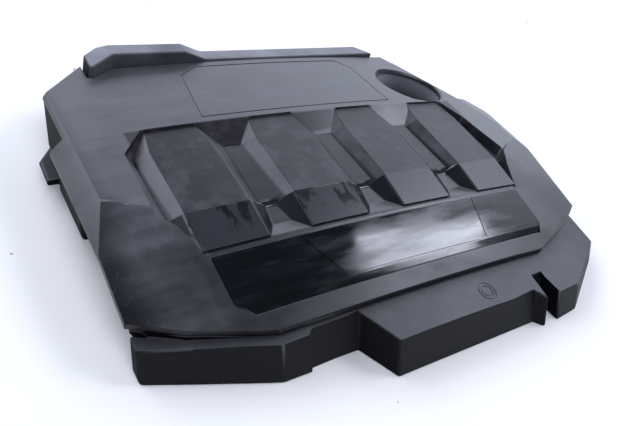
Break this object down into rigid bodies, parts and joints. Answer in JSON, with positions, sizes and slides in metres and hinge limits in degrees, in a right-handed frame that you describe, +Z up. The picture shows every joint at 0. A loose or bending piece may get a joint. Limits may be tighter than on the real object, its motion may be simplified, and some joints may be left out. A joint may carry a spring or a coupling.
{
  "type": "engine cover",
  "caption": "Low car engine cover: a faceted satin panel with humps, a gloss trim band and an oval oil-filler opening, over a thick matte lower body.",
  "frame": {"origin": "on the floor, under the middle of the cover's overall box", "axes": "+X along the row of humps towards the filler, +Y to the rear, +Z up, normal to the panel"},
  "size_m": [0.439, 0.3382, 0.065],
  "materials": {
    "panel_satin": "satin",
    "band_gloss": "gloss",
    "body_matte": "matte",
    "grommet_rubber": "matte"
  },
  "bodies": {
    "root": {"panel": "panel_satin", "band": "band_gloss", "body": "body_matte", "grommet_1": "grommet_rubber", "grommet_2": "grommet_rubber", "grommet_3": "grommet_rubber", "grommet_4": "grommet_rubber"}
  },
  "joints": []
}
